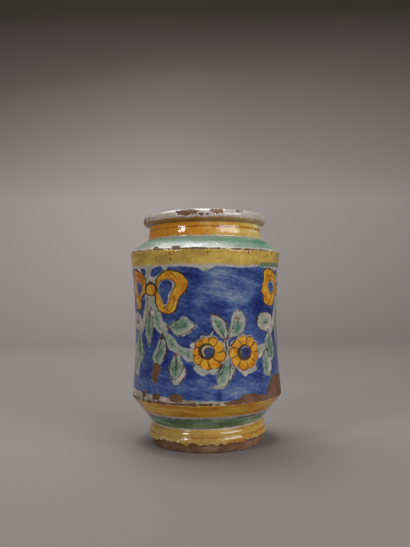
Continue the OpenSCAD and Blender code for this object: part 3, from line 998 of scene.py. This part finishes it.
# %% [markdown]
# ## The clay and the lining
#
# Behind the coats stands the clay itself, in the sections the potter joined. It shows in the chips,
# around the bare foot and underneath. The lining is a thinner coat inside, with the soft rings that the
# thrower's fingers left.


# %% Turn the clay sections
GLAZE_DEPTH = 0.6
BORE_R = 53
NECK_WALL = 4.2


def clay_ring(name, start, end, bore, pace, steps):
    """A section of the wall from its outer face to its bore, closed all round."""
    front, front_along = cut_line(start, end, pace, GLAZE_DEPTH)
    back = np.array(bore, float)
    back_along = np.linspace(end, start, len(back))
    mesh = turned(name, front, front_along, back, back_along, steps)
    skin = Skin(mesh)
    skin.push(0.12 * speckle(skin.co, 6, 51) + 0.1 * speckle(skin.co, 2, 52))
    skin.settle()
    return mesh


floor_r = widest("floor_disc")
mouth_r = widest("neck_collar") - NECK_WALL
lip_z = highest("neck_collar")
SECTIONS = [
    ("clay_heel", at_crease, at_heel, [(BORE_R, heel_z), (floor_r, crease_z)], 0.7, 256),
    ("clay_drum", at_heel, at_arris, [(BORE_R, arris_z), (BORE_R, heel_z)], 0.9, 352),
    ("clay_shoulder", at_arris, at_neck, [(mouth_r, neck_z), (BORE_R, arris_z)], 0.7, 256),
    ("clay_neck", at_neck, at_lip, [(mouth_r, lip_z), (mouth_r, neck_z)], 0.7, 192),
    ("clay_lip", at_lip, at_mouth, [(mouth_r + 0.3, lip_z)], 0.5, 288),
]
clay_meshes = {section[0]: clay_ring(*section) for section in SECTIONS}
print({name: len(mesh.polygons) for name, mesh in clay_meshes.items()})

# %% Turn the foot and the floor
LINING_T = 0.6
under_z = lowest("floor_disc")
floor_z = highest("floor_disc")
foot_front, foot_along = cut_line(0.6, at_crease, 0.4, 0.0)
foot_inset = 0.15 + 0.45 * ease(3, 7, foot_along)
foot_out = np.column_stack([np.interp(foot_along, along_mm, outward[:, k]) for k in (0, 1)])
foot_front -= foot_inset[:, None] * foot_out
foot_bottom = [(foot_r - 1.2, 0), (floor_r + 1.5, 0), (floor_r, 1.2), (floor_r, crease_z)]
foot_line = np.concatenate([np.array(foot_bottom[:1]), foot_front])
foot_marks = np.concatenate([[0], foot_along])
clay_foot_mesh = turned(
    "clay_foot", foot_line, foot_marks, np.array(foot_bottom[:0:-1], float), [at_crease, 3, 2], 416,
)
foot_skin = Skin(clay_foot_mesh)
foot_rough = 0.25 * speckle(foot_skin.co, 7, 61) + 0.18 * speckle(foot_skin.co, 2, 62)
foot_skin.push(ease(0.5, 3, foot_skin.along) * foot_rough)
foot_skin.settle()


def settle_stained(mesh):
    """Marks a few worn, stained places on an inner coat, and settles its points."""
    skin = Skin(mesh)
    skin.keep("loss", 1.6 * speckle(skin.co, 9, 71) - 1.7)
    skin.settle()


def disc(name, low, high, radius, steps):
    """A round plate spun from its edge line about the axis."""
    line = np.array([(0, low), (radius * 0.5, low), (radius, low)])
    back = np.array([(radius, high), (radius * 0.66, high), (radius * 0.33, high), (0, high)])
    mesh = turned(name, line, [0, 1, 2], back, [3, 4, 5, 6], steps)
    settle_stained(mesh)
    return mesh


clay_floor_mesh = disc("clay_floor", under_z, floor_z, floor_r, 192)
lining_floor_mesh = disc("lining_floor", floor_z, floor_z + LINING_T, floor_r - LINING_T, 192)
print("clay foot", len(clay_foot_mesh.polygons), "faces")

# %% Turn the lining
FINGER_DEPTH = 0.35
FINGER_PITCH = 7
LINING_PACE = 0.8
inside = np.array([
    (floor_r, floor_z), (floor_r, crease_z), (BORE_R, heel_z), (BORE_R, arris_z), (mouth_r, neck_z),
    (mouth_r, lip_centre[1]),
])
inside_line, inside_marks = paced(inside - np.array([LINING_T, 0]), LINING_PACE)
inside_line = softened(inside_line, LINING_PACE, 2.5)
inside_z = inside_line[:, 1]
fingers = FINGER_DEPTH * np.sin(inside_z * math.tau / FINGER_PITCH)
inside_line[:, 0] += fingers * ease(40, 60, inside_z) * (1 - ease(140, 158, inside_z))
lining_back = inside[::-1] + np.array([LINING_T, 0])
back_marks = np.linspace(inside_marks[-1], 0, len(lining_back))
lining_mesh = turned("lining_wall", inside_line, inside_marks, lining_back, back_marks, 256)
settle_stained(lining_mesh)
print("lining", len(lining_mesh.polygons), "faces")

# %% [markdown]
# ## Finishes
#
# Every finish is built from nodes: soft noise for the blots and streaks of the brush, the layers stored
# on the mesh for the painted shapes, and a fine bump for the skin of the glaze. A small helper keeps the
# node calls short.


# %% A helper for finishes
def screen(red, green, blue):
    """A colour given in 0 to 255 screen values, as Blender's linear colour."""
    level = np.array([red, green, blue]) / 255
    linear = np.where(level <= 0.04045, level / 12.92, ((level + 0.055) / 1.055) ** 2.4)
    return (*[float(part) for part in linear], 1.0)


class Finish:
    """A material, with short ways to add the nodes that a fired surface needs."""

    def __init__(self, name):
        self.material = bpy.data.materials.new(name)
        self.material.use_nodes = True
        self.nodes = self.material.node_tree.nodes
        self.links = self.material.node_tree.links
        self.shader = self.nodes["Principled BSDF"]
        self.place = self.nodes.new("ShaderNodeTexCoord").outputs["Object"]

    def feed(self, socket, value):
        """Links a node's output to a socket, or sets the socket to a number or a screen colour."""
        if isinstance(value, bpy.types.NodeSocket):
            self.links.new(value, socket)
        elif isinstance(value, tuple):
            socket.default_value = screen(*value)
        else:
            socket.default_value = value

    def add(self, kind, inputs, **settings):
        """Adds a node with its settings, feeds its inputs, and gives its outputs."""
        node = self.nodes.new("ShaderNode" + kind)
        for name, value in settings.items():
            setattr(node, name, value)
        for key, value in inputs.items():
            self.feed(node.inputs[key], value)
        return node.outputs

    def sum(self, operation, first, second):
        """One step of arithmetic."""
        return self.add("Math", {0: first, 1: second}, operation=operation)[0]

    def layer(self, name):
        """A number stored on the mesh."""
        return self.add("Attribute", {}, attribute_name=name)["Fac"]

    def blots(self, size, detail=2.0, flat=1.0, shift=0.0):
        """Soft noise with a grain of a size in millimetres, flatter if its height is divided."""
        moved = Vector((shift, shift * 0.7, shift * 1.3))
        scaled = Vector((1 / size / MM, 1 / size / MM, flat / size / MM))
        spread = self.add("Mapping", {"Vector": self.place, "Location": moved, "Scale": scaled})
        return self.add("TexNoise", {"Vector": spread[0], "Scale": 1.0, "Detail": detail})["Fac"]

    def between(self, value, low, high, least=0.0, most=1.0):
        """Maps a value smoothly from least at low to most at high."""
        ends = {"Value": value, "From Min": low, "From Max": high, "To Min": least, "To Max": most}
        return self.add("MapRange", ends, interpolation_type="SMOOTHSTEP")[0]

    def mix(self, amount, first, second, manner="MIX"):
        """Mixes two colours."""
        return self.add("Mix", {0: amount, 6: first, 7: second}, data_type="RGBA", blend_type=manner)[2]

    def shades(self, value, *stops):
        """A colour that runs through stops, each a place and a colour."""
        node = self.nodes.new("ShaderNodeValToRGB")
        ramp = node.color_ramp
        while len(ramp.elements) < len(stops):
            ramp.elements.new(0.5)
        for element, (place, colour) in zip(ramp.elements, stops):
            element.position = place
            element.color = screen(*colour)
        self.feed(node.inputs[0], value)
        return node.outputs[0]

    def relief(self, height, depth):
        """A fine bump from a height, its depth in millimetres."""
        bump = self.add("Bump", {"Strength": 1.0, "Distance": depth * MM, "Height": height})
        self.links.new(bump[0], self.shader.inputs["Normal"])


# %% Bare clay
def bare_clay(name, grime):
    """Buff red earthenware, dusty and stained, and darker where grime has settled."""
    clay = Finish(name)
    tone = clay.blots(14, 4)
    grain = clay.blots(0.9, 3)
    colour = clay.shades(tone, (0.3, (94, 61, 40)), (0.5, (126, 88, 60)), (0.7, (156, 116, 90)))
    colour = clay.mix(clay.between(grain, 0.58, 0.72, 0, 0.5), colour, (66, 46, 36))
    dust = clay.between(clay.blots(1.6, 2, shift=3), 0.62, 0.74, 0, 0.5)
    colour = clay.mix(dust, colour, (186, 160, 142))
    clay.feed(clay.shader.inputs["Base Color"], clay.mix(grime, colour, (78, 46, 27)))
    clay.shader.inputs["Roughness"].default_value = 0.85
    clay.relief(clay.sum("ADD", grain, clay.blots(4, 3)), 0.35)
    return clay.material


clay_finish = bare_clay("bare_clay", 0.0)
chip_finish = bare_clay("chipped_clay", 0.5)
print("clay finish", len(clay_finish.node_tree.nodes), "nodes")

# %% [markdown]
# ### Painted glaze
#
# All coats share one recipe. The white ground varies a little. Each painted layer is mixed over it where
# its stored depth is above zero, with a ragged, slightly soft edge. Then come pits, grime and bare clay
# in each chip. Gloss comes from a low roughness that rises where the glaze is worn.

# %% The shared recipe
BRISTLE = 2.5
WHITE = [(0.3, (170, 158, 148)), (0.5, (188, 177, 168)), (0.7, (200, 190, 183))]


def ground(finish, stain=0.35):
    """The white tin glaze, faintly mottled and stained."""
    white = finish.shades(finish.blots(9, 4), *WHITE)
    stained = finish.between(finish.blots(5, 5, shift=11), 0.45, 0.7, 0, stain)
    return finish.mix(stained, white, (142, 118, 88))


def brushed(finish, below, name, colour, soft, ragged, strength=1.0):
    """Lays one painted layer over what is below."""
    edge = finish.sum("MULTIPLY", finish.sum("SUBTRACT", finish.blots(BRISTLE, 2), 0.5), ragged * 2)
    cover = finish.between(finish.sum("ADD", finish.layer(name), edge), -soft, soft, 0, strength)
    return finish.mix(cover, below, colour)


def fired(finish, colour, pitted=0.75, rough=0.14, waves=0.16):
    """Adds pits, grime and worn edges, and sets the glaze's gloss and the waves of its skin."""
    shade = finish.between(finish.blots(2.6, 5, shift=13), 0.3, 0.7, 1 - waves, 1 + 0.6 * waves)
    colour = finish.mix(1.0, colour, shade, "MULTIPLY")
    pits = finish.between(finish.blots(0.9, 1, shift=5), 0.68, 0.74, 0, pitted)
    patchy = finish.between(finish.blots(16, 3, shift=2), 0.42, 0.62)
    colour = finish.mix(finish.sum("MULTIPLY", pits, patchy), colour, (62, 48, 38))
    worn = finish.between(finish.sum("ADD", finish.layer("loss"), finish.blots(1.5)), -0.2, 0.35)
    bare = finish.shades(finish.blots(3), (0.35, (74, 50, 34)), (0.65, (122, 92, 66)))
    colour = finish.mix(worn, colour, bare)
    finish.feed(finish.shader.inputs["Base Color"], colour)
    finish.shader.inputs["IOR"].default_value = 1.62
    gloss = finish.between(finish.blots(5, 4, shift=7), 0.3, 0.75, rough - 0.05, rough + 0.12)
    dull = finish.sum("MULTIPLY", worn, 0.4)
    finish.feed(finish.shader.inputs["Roughness"], finish.sum("ADD", gloss, dull))
    broad = finish.sum("MULTIPLY", finish.blots(9, 2, shift=4), 2.0)
    finish.relief(finish.sum("ADD", finish.blots(2.2, 2, shift=9), broad), waves)
    return finish.material


print("white ground of", len(WHITE), "tones")

# %% The drum's finish
def drum_finish():
    """White, blue, green, ochre and dark line, in the painter's order."""
    glaze = Finish("painted_drum")
    grey_green = glaze.between(glaze.blots(11, 4, shift=6), 0.38, 0.58, 0, 0.75)
    colour = glaze.mix(grey_green, ground(glaze), (150, 156, 142))
    stroke = glaze.between(glaze.blots(4, 4, flat=2.2), 0.3, 0.7, -0.13, 0.13)
    full = glaze.sum("ADD", glaze.layer("wash"), stroke)
    blue = glaze.shades(full, (0.05, (14, 30, 98)), (0.35, (36, 57, 122)), (0.6, (66, 90, 143)),
                        (0.85, (100, 121, 157)), (1.0, (134, 146, 166)))
    grime = glaze.sum("MULTIPLY", glaze.layer("low"), glaze.between(glaze.blots(6, 5, shift=15), 0.35, 0.65))
    colour = glaze.mix(grime, colour, (128, 102, 82))
    colour = glaze.mix(glaze.between(glaze.layer("band"), -4, -2, 0, 0.7), colour, (184, 177, 168))
    patch = glaze.between(glaze.blots(4, 4), 0.3, 0.7, -0.4, 0.4)
    depth = glaze.sum("ADD", glaze.between(glaze.layer("leaf"), 0, 4), patch)
    green = glaze.shades(depth, (0.0, (150, 161, 144)), (0.4, (116, 144, 123)), (1.0, (78, 114, 93)))
    mottle = glaze.between(glaze.blots(18, 5, flat=3, shift=1), 0.28, 0.72)
    band = glaze.shades(mottle, (0, (168, 132, 50)), (0.5, (194, 157, 62)), (1, (210, 178, 78)))
    tone = glaze.between(glaze.blots(6, 4, shift=8), 0.3, 0.7)
    ochre = glaze.shades(tone, (0, (188, 110, 16)), (0.5, (208, 142, 26)), (1, (218, 168, 50)))
    eye = glaze.shades(tone, (0.1, (32, 46, 100)), (0.9, (60, 75, 118)))
    layers = [
        ("blue", blue, 0.4, 0.7, 1.0), ("leaf", green, 0.7, 0.9, 0.92), ("band", band, 0.9, 1.4, 0.95),
        ("teal", (70, 114, 98), 0.6, 1.2, 0.85), ("ochre", ochre, 0.3, 0.5, 1.0),
        ("cream", (180, 162, 110), 0.3, 0.4, 1.0), ("petal", (108, 62, 18), 0.25, 0.3, 0.85),
        ("eye", eye, 0.3, 0.5, 1.0), ("line", (48, 37, 34), 0.25, 0.5, 0.92),
    ]
    for layer in layers:
        colour = brushed(glaze, colour, *layer)
    return fired(glaze, colour)


painted_drum = drum_finish()
print("drum finish", len(painted_drum.node_tree.nodes), "nodes")

# %% The banded finishes
def banded_finish(
    name, left=None, stain=0.35, rim=None, soft=0.5, pitted=0.75, waves=0.12, rough=0.09, **layers
):
    """White glaze with stripes of three tones each, tints for the left side, and a broken rim."""
    glaze = Finish(name)
    colour = ground(glaze, stain)
    for layer, (dark, middle, pale) in layers.items():
        streak = glaze.between(glaze.blots(24, 5, flat=6, shift=len(layer)), 0.34, 0.66)
        tone = glaze.shades(streak, (0, dark), (0.5, middle), (1, pale))
        if left and layer in left:
            tint, strength = left[layer]
            leftward = glaze.between(glaze.layer("left"), -1.6, 1.8, 0, strength)
            tone = glaze.mix(leftward, tone, tint)
        colour = brushed(glaze, colour, layer, tone, soft, 0.9)
    if rim:
        torn = glaze.between(glaze.blots(2.5, 3), 0.3, 0.7, -1.2, 1.2)
        ragged = glaze.sum("ADD", glaze.layer("loss"), torn)
        colour = glaze.mix(glaze.between(ragged, -1.3, -0.3, 0, 0.85), colour, rim)
    return fired(glaze, colour, pitted, rough, waves)


foot_finish = banded_finish(
    "painted_foot", {"yellow": ((178, 148, 78), 0.75)}, rim=(212, 190, 146),
    yellow=((162, 102, 18), (184, 134, 38), (198, 158, 72)),
    pool=((150, 92, 24), (160, 106, 34), (182, 136, 60)),
)
heel_finish = banded_finish(
    "painted_heel", green=((76, 114, 86), (102, 140, 108), (146, 168, 144)),
    line=((40, 46, 54), (56, 62, 72), (96, 102, 108)),
    yellow=((186, 120, 18), (204, 150, 34), (212, 168, 60)),
)
# The haze tones are partly painted shade on the lower shoulder. The haze's left tint, greyer and a little
# darker, is painted shade on the left side of the shoulder.
shoulder_finish = banded_finish(
    "painted_shoulder", {"green": ((130, 161, 146), 0.7), "haze": ((136, 147, 138), 0.95)},
    soft=1.5, rough=0.26,
    haze=((112, 146, 126), (128, 158, 138), (150, 172, 154)),
    green=((60, 128, 100), (84, 150, 122), (120, 172, 148)),
)
neck_finish = banded_finish(
    "painted_neck", {"yellow": ((208, 132, 8), 0.96)},
    yellow=((208, 176, 78), (220, 198, 118), (226, 210, 146)),
    pool=((140, 80, 14), (164, 96, 18), (180, 116, 30)),
)
# The lip's yellow stripe runs under the roll. Its tones, duller and darker than the neck's yellow, are
# painted shade under the roll over the real yellow paint.
lip_finish = banded_finish(
    "painted_lip", {"yellow": ((152, 100, 8), 0.95)}, 0.4, pitted=0.2, waves=0.05,
    yellow=((166, 138, 92), (182, 158, 114), (192, 172, 136)),
)
lining_finish = banded_finish("lining", stain=0.8)
print("banded finishes made")

# %% [markdown]
# ## Putting the pieces in the frame
#
# Each mesh becomes an object at the origin and rides on the jar's one body. It names the CAD solids that
# it stands for, so those are hidden.


# %% Place every piece
WALLS = {
    "clay_heel": "heel_wall", "clay_drum": "drum_wall", "clay_shoulder": "shoulder_wall",
    "clay_neck": "neck_collar", "clay_lip": "lip_roll",
}


def place(mesh, finish, slot, *nodes):
    """Makes a piece of a mesh, with its finish, in place of its CAD solids."""
    mesh.materials.append(finish)
    piece = put(mesh.name, mesh)
    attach(piece, "root")
    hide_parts(*nodes)


place(clay_foot_mesh, clay_finish, "terracotta", "foot_ring")
place(clay_floor_mesh, clay_finish, "terracotta", "floor_disc")
for name, node in WALLS.items():
    place(clay_meshes[name], chip_finish, "terracotta", node)
place(foot_mesh, foot_finish, "tin_glaze", "foot_glaze", "foot_yellow")
place(heel_mesh, heel_finish, "tin_glaze", "heel_glaze", "heel_green", "heel_yellow")
place(drum_mesh, painted_drum, "tin_glaze", "drum_glaze", "shoulder_yellow", "blue_ground", "bow_ribbons",
      "bow_knots", "stems", "leaves", "petals_ochre", "flower_eyes")
place(shoulder_mesh, shoulder_finish, "tin_glaze", "shoulder_glaze", "shoulder_green")
place(neck_mesh, neck_finish, "tin_glaze", "neck_glaze", "neck_yellow")
place(lip_mesh, lip_finish, "tin_glaze", "lip_glaze")
place(lining_mesh, lining_finish, "lining_glaze", "wall_lining")
place(lining_floor_mesh, lining_finish, "lining_glaze", "floor_lining")
print("pieces placed")

# %% [markdown]
# ## The studio
#
# The jar stands on a seamless sweep of grey paper. Its colour carries painted shade: darker on the floor in
# front of the jar and towards the right, lightest partway up the wall, and darker again towards the top. A
# narrow soft light stands at the front left and a wide one at the front right. Two large ones hang above,
# one overhead and one behind to the left. Their strength is set so that a colour renders about as it is
# written.


# %% The paper sweep
SWEEP_R = 0.6


def paper_sweep():
    """A floor that curves up into a wall: one line drawn from front to top, and pulled sideways."""
    turn = np.radians(np.linspace(-90, 0, 25))
    curve = [(1.0 + SWEEP_R * math.cos(part), SWEEP_R + SWEEP_R * math.sin(part)) for part in turn]
    shape = bmesh.new()
    verts = [shape.verts.new((-2.5, along, up)) for along, up in [(-2.2, 0), *curve, (1.6, 3.1)]]
    edges = [shape.edges.new(pair) for pair in zip(verts[:-1], verts[1:])]
    made = bmesh.ops.extrude_edge_only(shape, edges=edges)["geom"]
    pulled = [item for item in made if isinstance(item, bmesh.types.BMVert)]
    bmesh.ops.translate(shape, verts=pulled, vec=(5, 0, 0))
    shape.normal_update()
    if sum(face.normal.z for face in shape.faces) < 0:
        bmesh.ops.reverse_faces(shape, faces=shape.faces)
    return as_mesh("paper_sweep", shape)


paper = Finish("grey_paper")
height = paper.nodes.new("ShaderNodeSeparateXYZ")
paper.links.new(paper.place, height.inputs[0])
away = paper.sum("ADD", height.outputs["Z"], paper.sum("MULTIPLY", height.outputs["Y"], 0.3))
# Painted shade in the paper's colour: darker on the floor in front of the jar, lightest partway up the wall,
# darker again towards the top.
grey = paper.shades(
    paper.sum("MULTIPLY", paper.sum("ADD", away, 0.1), 0.5),
    (0.0, (118, 111, 107)), (0.05, (134, 127, 123)), (0.11, (134, 127, 123)),
    (0.25, (162, 154, 150)), (0.52, (204, 194, 190)), (0.71, (160, 150, 145)), (0.87, (98, 91, 83)),
)
# Painted shade: the paper grows darker towards the right.
grey = paper.mix(paper.between(height.outputs["X"], -0.24, 0.24, 0.02, 0.19), grey, (72, 67, 62))
paper.feed(paper.shader.inputs["Base Color"], grey)
paper.shader.inputs["Roughness"].default_value = 0.95
sweep_mesh = paper_sweep()
sweep_mesh.materials.append(paper.material)
sweep = put("paper_sweep", sweep_mesh)
print("sweep", len(sweep_mesh.polygons), "faces")

# %% The lights
LIGHT_AIM = (0, 0, 100)


def soft_light(name, place_mm, size_mm, power):
    """A rectangular soft light that faces a point."""
    data = bpy.data.lights.new(name, "AREA")
    data.shape = "RECTANGLE"
    data.size = size_mm[0] * MM
    data.size_y = size_mm[1] * MM
    data.energy = power
    lamp = put(name, data)
    lamp.location = Vector(place_mm) * MM
    way = (Vector(LIGHT_AIM) - Vector(place_mm)).normalized()
    lamp.rotation_euler = way.to_track_quat("-Z", "Y").to_euler()


soft_light("left_light", (-900, -850, 650), (250, 500), 5.5)
soft_light("right_light", (900, -800, 580), (950, 640), 10.5)
soft_light("overhead_light", (50, 100, 1400), (800, 500), 6.5)
soft_light("back_light", (-300, 470, 1400), (1100, 900), 13)
world = bpy.data.worlds.new("studio")
world.use_nodes = True
world.node_tree.nodes["Background"].inputs["Color"].default_value = (0.9, 0.95, 1.0, 1)
world.node_tree.nodes["Background"].inputs["Strength"].default_value = 0.12
bpy.context.scene.world = world
bpy.context.scene.view_settings.view_transform = "Standard"
print("lights", [item.name for item in bpy.data.lights])
